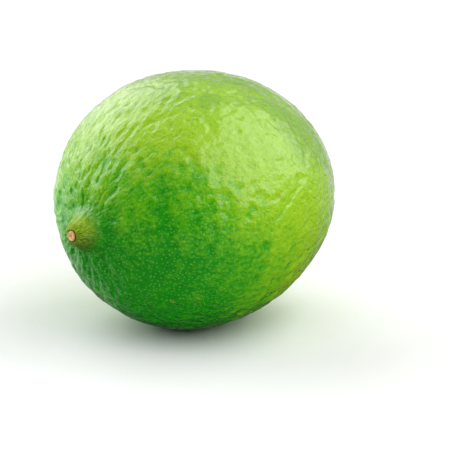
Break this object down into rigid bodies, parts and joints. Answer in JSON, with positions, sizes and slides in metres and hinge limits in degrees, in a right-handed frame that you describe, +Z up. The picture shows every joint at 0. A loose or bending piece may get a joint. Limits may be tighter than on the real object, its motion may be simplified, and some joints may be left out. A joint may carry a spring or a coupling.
{
  "type": "lime",
  "caption": "Whole fresh lime, ripe green, with a short neck at the blossom end and a dimpled stem end, lying on its side on a small flat spot.",
  "frame": {"origin": "on the resting surface, under the middle of the lime's length and width", "axes": "+Z up; X along the fruit's own axis, blossom end and neck towards -X, stem end towards +X; Y across"},
  "size_m": [0.0662, 0.0546, 0.0523],
  "materials": {
    "peel": "waxy, half glossy, pebbled peel, deep green with yellow-green upper side",
    "husk": "dry, matt, fibrous, olive brown"
  },
  "bodies": {
    "root": {"fruit": "peel", "stem_button": "husk"}
  },
  "joints": []
}
